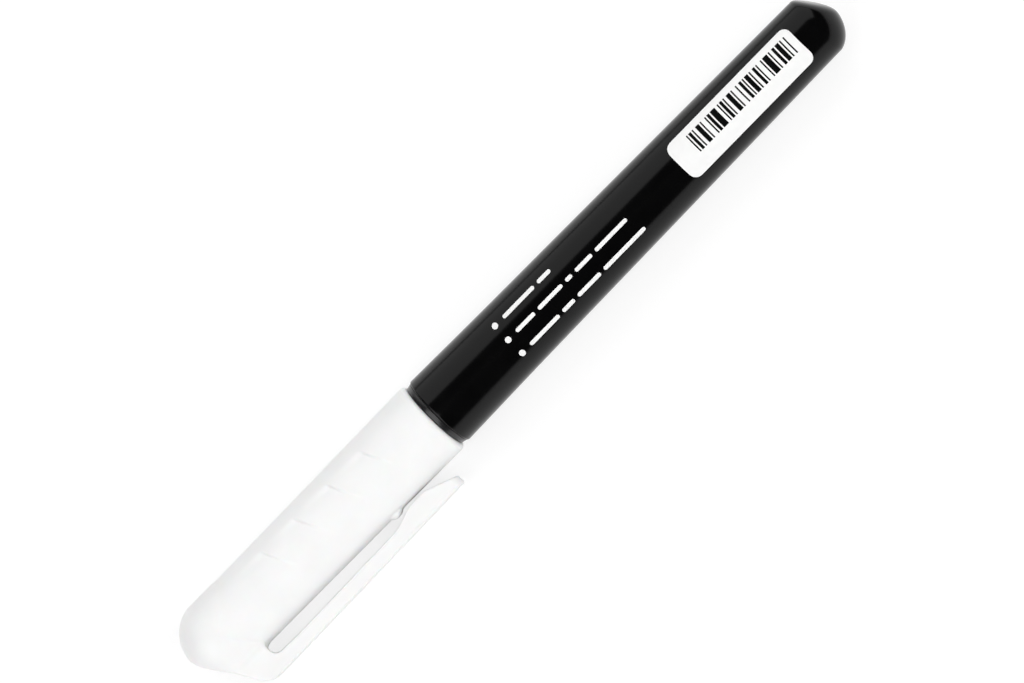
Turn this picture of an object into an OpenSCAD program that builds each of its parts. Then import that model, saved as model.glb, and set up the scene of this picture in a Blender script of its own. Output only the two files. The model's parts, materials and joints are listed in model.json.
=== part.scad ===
// Valve marker with a pull-off clip cap, lying on its side and resting on the edge of its clip.
// Stations run along the marker: 0 is the barrel's front edge, plus is towards the tail.
// Pieces are drawn upright on the Z axis with the clip on the +X side, then laid down by lay().

/* [Barrel] */
// Length of the barrel, front edge to tail
barrel_len = 85.3; // [75:0.1:104]
// Diameter of the barrel at its front edge
barrel_front_d = 12.4; // [11.8:0.1:15]
// Diameter of the barrel where the front flare ends
barrel_mid_d = 11.9; // [11.5:0.1:14.4]
// Diameter of the barrel where the tail dome starts
barrel_tail_d = 10.5; // [9.5:0.1:12.8]
// Length of the front flare
flare_len = 14.5; // [10:0.5:20]
// Height of the tail dome
tail_dome_h = 3.8; // [2.5:0.1:5]
// Slant of the flat on the tail dome
tail_flat_angle = 35.5; // [25:0.5:45]
// Wall thickness of the barrel
barrel_wall = 1.1; // [0.9:0.05:1.4]

/* [Cap] */
// Length of the cap
cap_len = 52.75; // [50:0.05:66]
// Outer diameter of the cap at its mouth
cap_mouth_d = 13; // [12.6:0.1:16]
// Outer diameter of the cap's tube where the head starts
cap_tube_d = 12.4; // [12:0.1:15]
// Wall thickness of the cap
cap_wall = 1.1; // [0.9:0.05:1.4]
// Length of the cap's closed head, dome included
cap_head_len = 10.1; // [9:0.1:12]
// How far the head stands proud of the tube
cap_head_step = 0.15; // [0.1:0.05:0.4]
// Height of the cap's dome
cap_dome_h = 4.75; // [4:0.05:6]
// Slant of the flat on the cap's closed end
cap_flat_angle = 34.5; // [28:0.5:40]
// Wall thickness of the inner cap at its lip
liner_wall = 0.67; // [0.5:0.01:0.8]
// Number of slanted finger recesses on each side
recess_count = 4; // [2:1:4]
// Distance between finger recesses
recess_pitch = 7.15; // [6:0.05:7.5]
// Depth control of the finger recesses
recess_depth = 0.4; // [0.25:0.05:0.5]

/* [Pocket clip] */
// Width of the clip
clip_w = 5.6; // [4:0.1:7]
// Height of the slot between the cap's tube and the clip's root
slot_h = 2; // [1.8:0.1:3]
// Thickness of the clip's arm
clip_t = 2.45; // [1.8:0.05:3]
// Length of the clip's arm
clip_arm_len = 36.9; // [30:0.1:40]
// Slope of the clip's arm towards the cap's tube
clip_slope = 1.2; // [0.6:0.1:1.5]
// Height of the gripping bulge near the clip's tip
bulge_h = 1.2; // [0.8:0.05:1.25]
// How far the clip springs open
clip_open_angle = 4; // [2:0.5:5]

/* [Writing end] */
// Diameter of the nib
nib_d = 3; // [2:0.1:3.6]
// Length of nib that shows in front of its holder
nib_show = 5.5; // [4:0.1:6]
// Length of the nose cone
nose_len = 10; // [8:0.5:12]
// Travel of the nib and valve when pressed
press_travel = 1.8; // [1:0.1:2.2]
// Width of the collar between barrel and cap
collar_len = 0.9; // [0.6:0.1:1.5]
// Diameter of the mixing ball
ball_d = 4.8; // [3.5:0.1:5.8]

/* [Label] */
// Length of the label along the barrel
label_len = 25.9; // [15:0.1:31]
// Height of the label as seen from in front
label_w = 6.8; // [4:0.1:7.5]
// Distance from the tail to the label
label_inset = 6.7; // [5:0.1:12]

/* [Fits] */
// Radial gap of pieces pressed into each other
press_gap = 0.02; // [0.01:0.01:0.03]
// Radial gap of pieces that slide on each other
slide_gap = 0.06; // [0.04:0.01:0.1]
// Gap between faces that rest on each other but move apart
rest_gap = 0.05; // [0.03:0.01:0.1]
// Radial gap between the cap's bore and the plain part of its seat
land_gap = 0.15; // [0.1:0.01:0.3]
// Radial gap for ink round the valve's head
flow_gap = 0.45; // [0.3:0.05:0.6]

/* [Hidden] */
$fn = 96;
far = 200;
dome_steps = 14;

// Barrel radii and inner stations
front_r = barrel_front_d / 2;
mid_r = barrel_mid_d / 2;
tail_r = barrel_tail_d / 2;
tail_start = barrel_len - tail_dome_h;
edge_round = 0.35;
socket_r = min(front_r, mid_r) - barrel_wall;
socket_len = 9.2;
socket_step = 0.6;
chamber_r = min(tail_r - barrel_wall, socket_r - socket_step);
chamber_end = tail_start - 1;
tail_flat_r = 1.15;

// Cap radii and stations
mouth_r = cap_mouth_d / 2;
tube_r = cap_tube_d / 2;
head_r = tube_r + cap_head_step;
mouth_z = -collar_len - rest_gap;
cap_end = mouth_z - cap_len;
head_z = cap_end + cap_head_len;
cap_dome_z = cap_end + cap_dome_h;
cap_flat_r = 0.3;
lip_round = 0.8;
bore_r = mouth_r - cap_wall;
seat_step = 0.05;
seat_r = min(bore_r, tube_r - cap_wall) - seat_step;
liner_r = seat_r - press_gap;
lip_r = liner_r - liner_wall;
bore_end = mouth_z - 12.6;
seat_end = cap_end + 7.2;
recess_start = mouth_z - 11.25;
recess_top = 0.745;
recess_slope = 0.54;

// Clip stations and the flexing point at its root
split_gap = clip_t / 2 * sin(clip_open_angle) + 0.035;
split_z = head_z + 1.8;
slot_r = tube_r + slot_h;
slot_step = 0.15;
slot_round = slot_h / 2;
clip_reach = slot_r + slot_step + clip_t;
arm_angle = clip_slope - atan((mouth_r - tube_r) / (mouth_z - head_z));
clip_bevel = 0.4;
clip_root_w = clip_w + 0.4;
root_round = 1.6;
nub_r = 1.2;
nub_h = 0.5;
nub_z = split_z + clip_arm_len - 10.65;

// Front section and the pieces it carries
plug_r = socket_r - press_gap;
plug_end_gap = 0.2;
plug_len = socket_len - plug_end_gap;
land_r = bore_r - land_gap;
bead_r = bore_r - slide_gap;
collar_step = 0.33;
collar_r = max(front_r - collar_step, land_r + 0.6);
land_end = mouth_z - 11;
neck_r = lip_r - slide_gap;
neck_start = land_end - 3;
neck_end = neck_start - 9;
pocket_wall = 1.45;
pocket_r = min(plug_r, land_r) - pocket_wall;
web_z = -8;
web_t = 2;
neck_wall = 1.3;
shank_r = neck_r - neck_wall;
nib_r = nib_d / 2;
nib_bore_r = nib_r + slide_gap;
felt_r = max(shank_r - 0.8, nib_r + 0.6);
nose_r = neck_r - 0.35;
nose_end = neck_end - nose_len;
felt_front = neck_end - 2;
nib_tip = nose_end - nib_show;
nib_back = web_z - web_t - 3;

// Valve behind the nib
gasket_t = 1.4;
gasket_back = web_z + gasket_t;
web_hole_r = 1.6;
pin_r = 0.9;
guide_r = 0.8;
cage_bore_r = pocket_r - 0.8;
head_front = gasket_back + rest_gap;
head_t = 1.9;
head_back = head_front + head_t;
valve_head_r = cage_bore_r - flow_gap;
cage_wall_t = 1.5;
cage_back = 6.2;
stem_back = cage_back + 0.3;
port_count = 4;

// Spring between the stem's head and the cage's wall
wire_d = 0.4;
coil_turns = 7;
coil_r = (guide_r + valve_head_r) / 2;
coil_start = head_back + wire_d / 2 + rest_gap;
coil_end = cage_back - cage_wall_t - wire_d / 2 - rest_gap;
coil_pitch = (coil_end - coil_start) / coil_turns;
pressed_pitch = coil_pitch - press_travel / coil_turns;
echo(spring_gap_at_rest = coil_gap(coil_pitch), spring_gap_pressed = coil_gap(pressed_pitch));

// Inner cap
liner_start = neck_start - 1;
liner_lip = 3.5;
liner_end_t = 1;

// Ball and label
ball_r = ball_d / 2;
ball_z = chamber_end - ball_r - 0.5;
label_t = 0.1;
label_round = 1.3;

// The marker lies on its thickest place and rolls until the bevel of its clip meets the floor.
rest_r = max(mouth_r, front_r, mid_r, tail_r);
low_reach = clip_reach + max(0, -clip_arm_len * sin(arm_angle));
bevel_reach = low_reach - clip_bevel;
roll = asin(rest_r / norm([bevel_reach, clip_root_w / 2])) - atan2(clip_root_w / 2, bevel_reach);
side_reach = low_reach * cos(roll) + (clip_root_w / 2 - clip_bevel) * sin(roll);
middle_z = (barrel_len + cap_end) / 2;

// Outline of a dome from its rim to its tip: power 1 is an ellipse, more is closer to a cone.
function dome(r, h, power) = [
    for (i = [0 : dome_steps])
        let (a = 90 * i / dome_steps)
        [i == dome_steps ? 0 : r * cos(a), h * pow(sin(a), power)]
];

// Moves an outline along the axis, dir is 1 towards the tail and -1 towards the cap's closed end.
function along(points, z, dir) = [for (p = points) [p[0], z + dir * p[1]]];

// Rounded corner of an outline, turning from angle a0 to a1 about a centre.
function corner(centre, r, a0, a1) = [
    for (i = [0 : 6])
        let (a = a0 + (a1 - a0) * i / 6)
        centre + r * [cos(a), sin(a)]
];

// Outer radius of the cap's tube at a station.
function tube_r_at(z) = tube_r + (mouth_r - tube_r) * (z - head_z) / (mouth_z - head_z);

// Middle of the spring's wire after some turns.
function coil_middle(turn, pitch) = [coil_r * cos(360 * turn), coil_r * sin(360 * turn), pitch * turn];

// Least gap of the spring to itself, measured between points at least half a turn apart.
function coil_gap(pitch) = min([
    for (i = [0 : 8], j = [i + 4 : i + 12])
        norm(coil_middle(j / 8, pitch) - coil_middle(i / 8, pitch)) - wire_d
]);

// Point of a helix ring: the wire's section turned to the coil's position.
function coil_point(turn, side) =
    let (a = 360 * turn, b = 60 * side, r = coil_r + wire_d / 2 * cos(b))
    [r * cos(a), r * sin(a), coil_start + coil_pitch * turn + wire_d / 2 * sin(b)];

// Lays the upright marker on its side, cap towards -X and clip towards -Y and the floor.
module lay() {
    translate([-middle_z, (side_reach - rest_r) / 2, rest_r])
        rotate([roll - 90, 0, 0])
            rotate([0, 90, 0])
                children();
}

// Extrudes an outline of [distance from axis, station] points across the clip's plane.
module across(w) {
    rotate([90, 0, 0])
        translate([0, 0, -w / 2])
            linear_extrude(w)
                children();
}

// Everything beyond a slanted plane: side is 1 on the clip's side and -1 opposite it.
module slanted_end(z, r, angle, side, dir) {
    translate([side * r, 0, z])
        rotate([0, side * dir * angle, 0])
            translate([-far / 2, -far / 2, dir > 0 ? 0 : -far])
                cube(far);
}

module barrel() {
    outside = [
        [front_r - edge_round, 0],
        [front_r, edge_round],
        [mid_r, flare_len]
    ];
    inside = [
        [0, chamber_end],
        [chamber_r - 1, chamber_end],
        [chamber_r, chamber_end - 1],
        [chamber_r, socket_len],
        [socket_r, socket_len],
        [socket_r, 0]
    ];
    color("#151515")
        lay()
            difference() {
                rotate_extrude()
                    polygon(concat(outside, along(dome(tail_r, tail_dome_h, 1.15), tail_start, 1), inside));
                slanted_end(barrel_len, tail_flat_r, tail_flat_angle, -1, 1);
            }
}

module barrel_label() {
    mid_z = barrel_len - label_inset - label_len / 2;
    color("white")
        lay()
            intersection() {
                rotate_extrude()
                    polygon([
                        [mid_r + press_gap, flare_len],
                        [mid_r + label_t, flare_len],
                        [tail_r + label_t, tail_start],
                        [tail_r + press_gap, tail_start]
                    ]);
                translate([0, 0, mid_z])
                    rotate([90, 0, 0])
                        linear_extrude(far)
                            rounded_rectangle(label_w, label_len, label_round);
            }
}

module rounded_rectangle(w, h, r) {
    square([w - 2 * r, h], center = true);
    square([w, h - 2 * r], center = true);
    for (x = [-1, 1], y = [-1, 1])
        translate([x * (w / 2 - r), y * (h / 2 - r)])
            circle(r);
}

module front_section() {
    bead_z = mouth_z - 4.5;
    outside = [
        [plug_r - 0.4, plug_len],
        [plug_r, plug_len - 0.6],
        [plug_r, 0],
        [collar_r - 0.1, 0],
        [collar_r, -0.1],
        [collar_r, 0.1 - collar_len],
        [collar_r - 0.1, -collar_len],
        [land_r, -collar_len],
        [land_r, bead_z + 0.7],
        [bead_r, bead_z + 0.25],
        [bead_r, bead_z - 0.25],
        [land_r, bead_z - 0.7],
        [land_r, land_end],
        [neck_r, neck_start],
        [neck_r, neck_end]
    ];
    inside = [
        [shank_r + press_gap, neck_end],
        [shank_r + press_gap, web_z - web_t],
        [web_hole_r, web_z - web_t],
        [web_hole_r, web_z],
        [pocket_r, web_z],
        [pocket_r, plug_len]
    ];
    color("#1b1b1b")
        lay()
            rotate_extrude()
                polygon(concat(outside, inside));
}

module nib_holder() {
    tip_r = nib_r + 0.65;
    color("#1b1b1b")
        lay()
            rotate_extrude()
                polygon([
                    [shank_r, web_z - web_t],
                    [shank_r, neck_end],
                    [nose_r, neck_end],
                    [nose_r, neck_end - 1],
                    [tip_r + 0.2, nose_end + 0.2],
                    [tip_r, nose_end],
                    [nib_bore_r, nose_end],
                    [nib_bore_r, felt_front],
                    [felt_r + press_gap, felt_front],
                    [felt_r + press_gap, web_z - web_t]
                ]);
}

module ink_felt() {
    color("ivory")
        lay()
            rotate_extrude()
                polygon([
                    [nib_bore_r, felt_front],
                    [felt_r, felt_front],
                    [felt_r, nib_back - 1],
                    [nib_bore_r, nib_back - 1]
                ]);
}

module nib() {
    bullet_h = 2.6;
    color("whitesmoke")
        lay()
            rotate_extrude()
                polygon(concat(
                    [[0, nib_back], [nib_r, nib_back]],
                    along(dome(nib_r, bullet_h, 1.1), nib_tip + bullet_h, -1)
                ));
}

module valve_gasket() {
    color("#50545a")
        lay()
            rotate_extrude()
                polygon([
                    [web_hole_r - 0.1, web_z],
                    [pocket_r - press_gap, web_z],
                    [pocket_r - press_gap, gasket_back],
                    [web_hole_r - 0.1, gasket_back]
                ]);
}

module valve_stem() {
    color("gainsboro")
        lay()
            rotate_extrude()
                polygon([
                    [0, nib_back],
                    [pin_r, nib_back],
                    [pin_r, head_front],
                    [valve_head_r, head_front],
                    [valve_head_r, head_back],
                    [guide_r, head_back],
                    [guide_r, stem_back],
                    [0, stem_back]
                ]);
}

module valve_spring() {
    rings = 8 * coil_turns;
    points = [for (i = [0 : rings], s = [0 : 5]) coil_point(i / 8, s)];
    sides = [
        for (i = [0 : rings - 1], s = [0 : 5], half = [0, 1])
            let (a = 6 * i + s, b = 6 * i + (s + 1) % 6)
            half == 0 ? [a, b, b + 6] : [a, b + 6, a + 6]
    ];
    first = [[for (s = [5 : -1 : 0]) s]];
    last = [[for (s = [0 : 5]) 6 * rings + s]];
    color("silver")
        lay()
            polyhedron(points, concat(sides, first, last), 4);
}

module valve_cage() {
    cage_r = pocket_r - press_gap;
    coil_out = coil_r + wire_d / 2;
    port_at = (coil_out + cage_bore_r) / 2;
    port_r = (cage_bore_r - coil_out) / 2 - 0.06;
    color("whitesmoke")
        lay()
            difference() {
                rotate_extrude()
                    polygon([
                        [cage_bore_r, gasket_back],
                        [cage_r, gasket_back],
                        [cage_r, cage_back],
                        [guide_r + slide_gap, cage_back],
                        [guide_r + slide_gap, cage_back - cage_wall_t],
                        [cage_bore_r, cage_back - cage_wall_t]
                    ]);
                for (i = [0 : port_count - 1])
                    rotate(360 * i / port_count)
                        translate([port_at, 0, cage_back - cage_wall_t - 1])
                            cylinder(r = port_r, h = cage_wall_t + 2);
            }
}

module mixing_ball() {
    off_axis = chamber_r - ball_r - rest_gap;
    color("silver")
        lay()
            translate([off_axis * sin(roll), off_axis * cos(roll), ball_z])
                sphere(ball_r);
}

// Outside of the cap: a tapered tube and a slightly larger head with an arch cut into each side.
module cap_outside() {
    arch_w = 0.82 * tube_r;
    arch_top = head_z - 3.6;
    lip_z = mouth_z - lip_round;
    rotate_extrude()
        polygon(concat(
            [[0, mouth_z]],
            corner([mouth_r - lip_round, lip_z], lip_round, 90, 0),
            [[tube_r, head_z], [tube_r, arch_top - 0.5], [0, arch_top - 0.5]]
        ));
    difference() {
        rotate_extrude()
            polygon(concat(
                [[0, head_z], [head_r, head_z]],
                along(dome(head_r, cap_dome_h, 1.33), cap_dome_z, -1)
            ));
        across(far)
            polygon([
                [-arch_w, head_z + 1],
                [-arch_w, head_z],
                [0, arch_top],
                [arch_w, head_z],
                [arch_w, head_z + 1]
            ]);
        slanted_end(cap_end, cap_flat_r, cap_flat_angle, 1, -1);
    }
}

// Block at the cap's head that the clip's arm grows from, with the round end of the clip's slot.
module clip_root() {
    slant = tan(cap_flat_angle);
    root_in = 0.5 * tube_r;
    root_in_z = cap_end + (root_in - cap_flat_r) * slant;
    round_r = clip_reach - root_round;
    round_z = cap_end + (clip_reach - cap_flat_r) * slant + root_round * tan((90 - cap_flat_angle) / 2);
    difference() {
        across(clip_root_w)
            difference() {
                polygon(concat(
                    [[root_in, root_in_z]],
                    corner([round_r, round_z], root_round, cap_flat_angle - 90, 0),
                    [[clip_reach, split_z], [root_in, split_z]]
                ));
                translate([root_in - 1, head_z + slot_round])
                    square([slot_r - root_in + 1, split_z - head_z]);
                translate([slot_r - slot_round, head_z + slot_round])
                    circle(slot_round);
            }
        clip_bevels(clip_root_w);
    }
}

// The two bevels along the edges of the clip's outer face.
module clip_bevels(w) {
    for (side = [-1, 1])
        translate([clip_reach, side * w / 2, -far / 2])
            linear_extrude(far)
                rotate(45)
                    square(clip_bevel * sqrt(2), center = true);
}

// One slanted finger recess: its floor is a tilted cylinder that runs out of the tube's surface.
module finger_recess(z) {
    r = tube_r_at(z);
    top = -recess_top * r;
    low = 0.3 * r;
    ease = 2 * recess_depth - 0.05;
    run = 5;
    difference() {
        rotate([90, 0, 0])
            linear_extrude(far)
                polygon([
                    [top, z],
                    [low, z + recess_slope * (low - top)],
                    [low, z - run],
                    [top, z - run]
                ]);
        translate([ease * sin(10), -ease * cos(10), z])
            rotate([-3.8, 4.3, 0])
                cylinder(r = r - 2 * recess_depth, h = far, center = true);
    }
}

module cap() {
    ledge_r = seat_r - 1.85;
    color("white")
        lay()
            difference() {
                union() {
                    cap_outside();
                    clip_root();
                    translate([tube_r_at(nub_z) + nub_h - nub_r, 0, nub_z])
                        rotate([90, 0, 0])
                            cylinder(r = nub_r, h = clip_w - 1.5, center = true);
                }
                rotate_extrude()
                    polygon([
                        [0, mouth_z + 1],
                        [bore_r + 0.3, mouth_z + 1],
                        [bore_r + 0.3, mouth_z],
                        [bore_r, mouth_z - 0.5],
                        [bore_r, bore_end],
                        [seat_r, bore_end - 0.5],
                        [seat_r, seat_end],
                        [ledge_r, seat_end],
                        [ledge_r, seat_end - 3],
                        [0, seat_end - 3]
                    ]);
                for (i = [0 : recess_count - 1], side = [0, 1])
                    mirror([0, side, 0])
                        finger_recess(recess_start - i * recess_pitch);
            }
}

module inner_cap() {
    relief_r = lip_r + 0.15;
    liner_end = seat_end;
    color("#eef0ee")
        lay()
            rotate_extrude()
                polygon([
                    [lip_r + 0.3, liner_start],
                    [liner_r, liner_start],
                    [liner_r, liner_end],
                    [0, liner_end],
                    [0, liner_end + liner_end_t],
                    [relief_r, liner_end + liner_end_t],
                    [relief_r, liner_start - liner_lip],
                    [lip_r, liner_start - liner_lip],
                    [lip_r, liner_start - 0.4]
                ]);
}

// Side outline of the clip's arm in [distance below outer face, distance from root] points.
function clip_outline() =
    let (
        tip_t = 0.62 * clip_t,
        rise_at = clip_arm_len - 13.3,
        rise_len = 6,
        flat_end = clip_arm_len - 5.4
    )
    concat(
        [[0, 0], [-clip_t, 0]],
        [
            for (i = [0 : 10])
                [-clip_t - bulge_h * (1 - cos(18 * i)) / 2, rise_at + rise_len * i / 10]
        ],
        [
            [-clip_t - bulge_h, flat_end],
            [-clip_t - 0.9 * bulge_h, flat_end + 0.8],
            [-tip_t, clip_arm_len - 0.3],
            [-tip_t + 0.3, clip_arm_len],
            [-0.5, clip_arm_len],
            [-0.15, clip_arm_len - 0.15],
            [0, clip_arm_len - 0.5]
        ]
    );

module pocket_clip() {
    tip_round = 1.6;
    color("white")
        lay()
            translate([clip_reach, 0, split_z + split_gap])
                rotate([0, -arm_angle, 0])
                    difference() {
                        intersection() {
                            across(clip_w)
                                polygon(clip_outline());
                            translate([-far / 2, 0, 0])
                                rotate([90, 0, 90])
                                    linear_extrude(far)
                                        translate([0, clip_arm_len / 2 - 5])
                                            rounded_rectangle(clip_w, clip_arm_len + 10, tip_round);
                        }
                        translate([-clip_reach, 0, 0])
                            clip_bevels(clip_w);
                    }
}

barrel();
barrel_label();
front_section();
nib_holder();
ink_felt();
nib();
valve_gasket();
valve_stem();
valve_spring();
valve_cage();
mixing_ball();
cap();
inner_cap();
pocket_clip();
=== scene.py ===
import json
import math

import bmesh
import bpy
import numpy as np
import openvdb
from mathutils import Matrix, Vector


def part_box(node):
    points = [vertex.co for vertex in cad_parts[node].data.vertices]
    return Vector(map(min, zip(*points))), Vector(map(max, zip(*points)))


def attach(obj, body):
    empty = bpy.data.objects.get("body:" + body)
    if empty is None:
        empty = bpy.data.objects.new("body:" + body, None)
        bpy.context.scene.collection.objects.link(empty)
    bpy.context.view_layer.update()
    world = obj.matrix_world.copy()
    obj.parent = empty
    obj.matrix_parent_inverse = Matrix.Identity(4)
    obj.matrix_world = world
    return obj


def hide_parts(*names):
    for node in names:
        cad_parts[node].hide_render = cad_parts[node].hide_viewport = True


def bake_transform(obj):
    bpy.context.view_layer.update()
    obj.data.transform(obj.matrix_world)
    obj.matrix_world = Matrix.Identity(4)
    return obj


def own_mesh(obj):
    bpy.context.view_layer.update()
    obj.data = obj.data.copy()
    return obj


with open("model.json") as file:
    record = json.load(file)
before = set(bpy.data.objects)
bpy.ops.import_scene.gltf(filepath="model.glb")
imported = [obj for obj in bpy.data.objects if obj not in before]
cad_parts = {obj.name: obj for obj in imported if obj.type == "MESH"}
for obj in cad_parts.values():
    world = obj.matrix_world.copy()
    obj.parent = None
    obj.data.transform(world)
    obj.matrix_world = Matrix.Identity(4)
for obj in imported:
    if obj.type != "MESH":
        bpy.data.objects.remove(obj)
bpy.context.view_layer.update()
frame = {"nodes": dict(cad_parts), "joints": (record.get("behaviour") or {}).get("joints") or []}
scene = bpy.context.scene
scene.view_settings.view_transform = "Standard"

mm = 0.001  # pieces are sized in mm, the scene is in metres
tiny = 1e-6  # anything shorter counts as nothing

# the marker's own axes: x to the clip, y away from the label,
# and z from the barrel's front edge to its tail
barrelLow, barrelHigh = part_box("barrel")
axisStart = Vector((barrelLow.x, (barrelLow.y + barrelHigh.y) / 2, (barrelLow.z + barrelHigh.z) / 2))
clipHinge = next(j for j in frame["joints"] if j["name"] == "clip_flex")
awayDir = Vector(clipHinge["axis"]).normalized()
clipDir = Vector((0, awayDir.z, -awayDir.y))
alongDir = Vector((1, 0, 0))
penAxes = np.array([clipDir, awayDir, alongDir])


def toWorld(points):
    return np.array(axisStart) + np.asarray(points, float) @ penAxes * mm


def makePiece(name, points, faces, sharpDeg=40):
    mesh = bpy.data.meshes.new(name)
    mesh.from_pydata(toWorld(points).tolist(), [], faces)
    bm = bmesh.new()
    bm.from_mesh(mesh)
    bmesh.ops.recalc_face_normals(bm, faces=bm.faces)
    bm.to_mesh(mesh)
    bm.free()
    mesh.shade_smooth()
    mesh.set_sharp_from_angle(angle=math.radians(sharpDeg))
    piece = bpy.data.objects.new(name, mesh)
    scene.collection.objects.link(piece)
    return piece


def softMax(u, v, k):
    near = np.maximum(k - np.abs(u - v), 0) / k
    return np.maximum(u, v) + near * near * k / 4


def ease(low, high, value):
    t = np.clip((value - low) / (high - low), 0, 1)
    return t * t * (3 - 2 * t)


def quarterTurn(steps):
    return [math.radians(90 * k / steps) for k in range(steps + 1)]


# a wider half angle counts as straight, and an arc takes up to this share of a side
cornerSizes = {"straight": 1.54, "sideShare": 0.48}


def softCorners(outline, steps=5):
    # outline of (a, b, rounding) points, closed: each corner becomes an arc that fits its two sides
    rounded = []
    for i, (a, b, rounding) in enumerate(outline):
        here = np.array((a, b), float)
        back = np.array(outline[i - 1][:2], float) - here
        ahead = np.array(outline[(i + 1) % len(outline)][:2], float) - here
        backLen, aheadLen = np.linalg.norm(back), np.linalg.norm(ahead)
        back, ahead = back / backLen, ahead / aheadLen
        half = math.acos(np.clip(back @ ahead, -1, 1)) / 2
        if rounding <= 0 or half > cornerSizes["straight"]:
            rounded.append(here)
            continue
        share = cornerSizes["sideShare"]
        cut = min(rounding / math.tan(half), share * backLen, share * aheadLen)
        radius = cut * math.tan(half)
        middle = here + (back + ahead) / np.linalg.norm(back + ahead) * radius / math.sin(half)
        first, last = here + back * cut - middle, here + ahead * cut - middle
        startAngle = math.atan2(first[1], first[0])
        turn = (math.atan2(last[1], last[0]) - startAngle + math.pi) % (2 * math.pi) - math.pi
        for k in range(steps + 1):
            angle = startAngle + turn * k / steps
            rounded.append(middle + radius * np.array((math.cos(angle), math.sin(angle))))
    return rounded


def spinRows(rows, turns, closed):
    # rows of (radius, height or function of the turn): no radius makes a pole
    points, ids, faces = [], [], []
    for r, z in rows:
        if r < tiny:
            ids.append([len(points)] * turns)
            points.append((0, 0, z(0.0) if callable(z) else z))
            continue
        ids.append(list(range(len(points), len(points) + turns)))
        for k in range(turns):
            angle = 2 * math.pi * k / turns
            height = z(angle) if callable(z) else z
            points.append((r * math.cos(angle), r * math.sin(angle), height))
    pairs = list(zip(ids, ids[1:])) + ([(ids[-1], ids[0])] if closed else [])
    for one, two in pairs:
        for k in range(turns):
            n = (k + 1) % turns
            corners = list(dict.fromkeys((one[k], one[n], two[n], two[k])))
            if len(corners) > 2:
                faces.append(corners)
    return points, faces


def lathePiece(name, outline, turns=128):
    rows = [(p[0], float(p[1])) for p in softCorners(outline)]
    piece = makePiece(name, *spinRows(rows, turns, True))
    # big faces keep their own shading, small rounded edges take up the turn
    soft = piece.modifiers.new("evenShade", "WEIGHTED_NORMAL")
    soft.keep_sharp = True
    return piece


# finishes: depth and glow are in metres, as the scene is

finishSizes = {
    "patchDetail": 4, "grainDetail": 3, "noiseRough": 0.55, "low": 0.3, "high": 0.7,
    "ior": 1.5, "glowScale": 0.001,
}


def noiseOn(nodes, links, scale, detail, stretch):
    place = nodes.new("ShaderNodeTexCoord").outputs["Object"]
    if stretch:
        mapping = nodes.new("ShaderNodeMapping")
        mapping.inputs["Scale"].default_value = stretch
        links.new(place, mapping.inputs["Vector"])
        place = mapping.outputs["Vector"]
    noise = nodes.new("ShaderNodeTexNoise")
    noise.inputs["Scale"].default_value = scale
    noise.inputs["Detail"].default_value = detail
    noise.inputs["Roughness"].default_value = finishSizes["noiseRough"]
    links.new(place, noise.inputs["Vector"])
    return noise.outputs["Fac"]


def shadeFrom(nodes, links, value, shades, socket):
    ramp = nodes.new("ShaderNodeValToRGB")
    for stop, place, shade in zip(ramp.color_ramp.elements, ("low", "high"), shades):
        stop.position = finishSizes[place]
        stop.color = (*shade, 1)
    links.new(value, ramp.inputs["Fac"])
    links.new(ramp.outputs["Color"], socket)


def rangeFrom(nodes, links, value, low, high, socket):
    spread = nodes.new("ShaderNodeMapRange")
    spread.inputs["From Min"].default_value = finishSizes["low"]
    spread.inputs["From Max"].default_value = finishSizes["high"]
    spread.inputs["To Min"].default_value = low
    spread.inputs["To Max"].default_value = high
    links.new(value, spread.inputs["Value"])
    links.new(spread.outputs["Result"], socket)


def bumpFrom(nodes, links, value, depth, strength, socket):
    bump = nodes.new("ShaderNodeBump")
    bump.inputs["Distance"].default_value = depth
    bump.inputs["Strength"].default_value = strength
    links.new(value, bump.inputs["Height"])
    links.new(bump.outputs["Normal"], socket)


def surfaceFinish(name, look):
    # patchy colour, uneven gloss and a fine relief, all by the look's dictionary
    finish = bpy.data.materials.new(name)
    finish.use_nodes = True
    nodes, links = finish.node_tree.nodes, finish.node_tree.links
    shader = nodes["Principled BSDF"]
    stretch = look.get("stretch")
    patches = noiseOn(nodes, links, look["patch"], finishSizes["patchDetail"], stretch)
    grain = noiseOn(nodes, links, look["grain"], finishSizes["grainDetail"], stretch)
    shadeFrom(nodes, links, patches, look["shades"], shader.inputs["Base Color"])
    rangeFrom(nodes, links, grain, *look["rough"], shader.inputs["Roughness"])
    bumpFrom(nodes, links, grain, look["depth"], look["relief"], shader.inputs["Normal"])
    shader.inputs["Metallic"].default_value = look.get("metal", 0)
    shader.inputs["IOR"].default_value = look.get("ior", finishSizes["ior"])
    shader.inputs["Subsurface Weight"].default_value = look.get("glow", 0)
    shader.inputs["Subsurface Scale"].default_value = finishSizes["glowScale"]
    shader.inputs["Sheen Weight"].default_value = look.get("fuzz", 0)
    return finish


def dress(piece, finish, body=None, nodes=()):
    piece.data.materials.clear()
    piece.data.materials.append(finish)
    if body:
        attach(piece, body)
    if nodes:
        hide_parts(*nodes)


# barrel

barrelSizes = {
    "length": 85.3, "frontR": 6.2, "midR": 5.95, "tailR": 5.25, "flare": 14.5, "flareSoft": 3.0,
    "edge": 0.35, "edgeSteps": 6, "firstRow": 1.0, "rows": 60, "turns": 160, "sharpDeg": 50,
    "domeH": 3.8, "domePower": 1.15, "domeSteps": 40, "flatDeg": 35.5, "flatX": 0.55, "flatSoft": 1.2,
    "socketR": 4.85, "socketLen": 9.2, "socketEdge": 0.15,
    "chamberR": 4.15, "chamberEnd": 80.5, "chamberEdge": 1.0,
}
barrelLook = {
    "shades": ((0.0008, 0.0008, 0.0009), (0.0016, 0.0016, 0.0017)), "patch": 260, "grain": 5200,
    "rough": (0.14, 0.19), "depth": 0.00001, "relief": 0.05, "ior": 1.3,
}


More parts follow.
